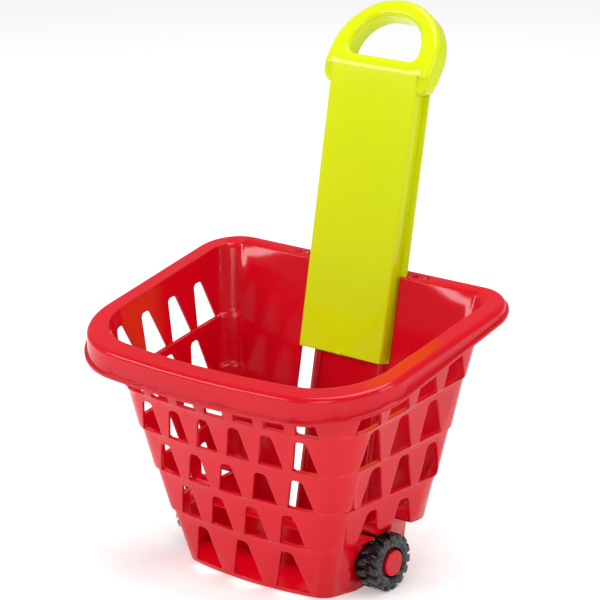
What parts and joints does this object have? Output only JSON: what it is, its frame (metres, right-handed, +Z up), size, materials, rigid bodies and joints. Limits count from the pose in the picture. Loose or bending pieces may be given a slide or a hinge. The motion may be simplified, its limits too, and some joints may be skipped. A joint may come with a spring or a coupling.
{
  "type": "toy shopping trolley on wheels",
  "caption": "Toy shopping trolley: flared openwork basket on two wheels, with a panel handle that slides down into the rear wall.",
  "frame": {"origin": "on the floor, on the basket's flat underside, 13 mm behind the straight line between the front corners at the floor and on the middle plane", "axes": "+X to the wheel_right side, +Y to the rear where the handle is, +Z up"},
  "size_m": [0.322, 0.3015, 0.4505],
  "materials": {
    "red_plastic": "glossy moulded",
    "lime_plastic": "glossy moulded",
    "black_plastic": "satin moulded",
    "steel": "plain drawn wire and pressed sheet"
  },
  "bodies": {
    "basket": {"basket": "red_plastic", "back_guide": "red_plastic", "axle": "steel", "push_nut_left": "steel", "push_nut_right": "steel"},
    "handle": {"handle": "lime_plastic"},
    "wheel_left": {"wheel_left": "black_plastic", "hub_cap_left": "red_plastic"},
    "wheel_right": {"wheel_right": "black_plastic", "hub_cap_right": "red_plastic"}
  },
  "joints": [
    {"name": "handle_slide", "type": "slide", "parent": "basket", "child": "handle", "axis": [0, 0.225, 0.9744], "range_m": [-0.142, 0]},
    {"name": "wheel_left_spin", "type": "hinge", "parent": "basket", "child": "wheel_left", "pos_m": [-0.097, 0.032, 0.0245], "axis": [1, 0, 0], "continuous": true},
    {"name": "wheel_right_spin", "type": "hinge", "parent": "basket", "child": "wheel_right", "pos_m": [0.097, 0.032, 0.0245], "axis": [1, 0, 0], "continuous": true}
  ]
}
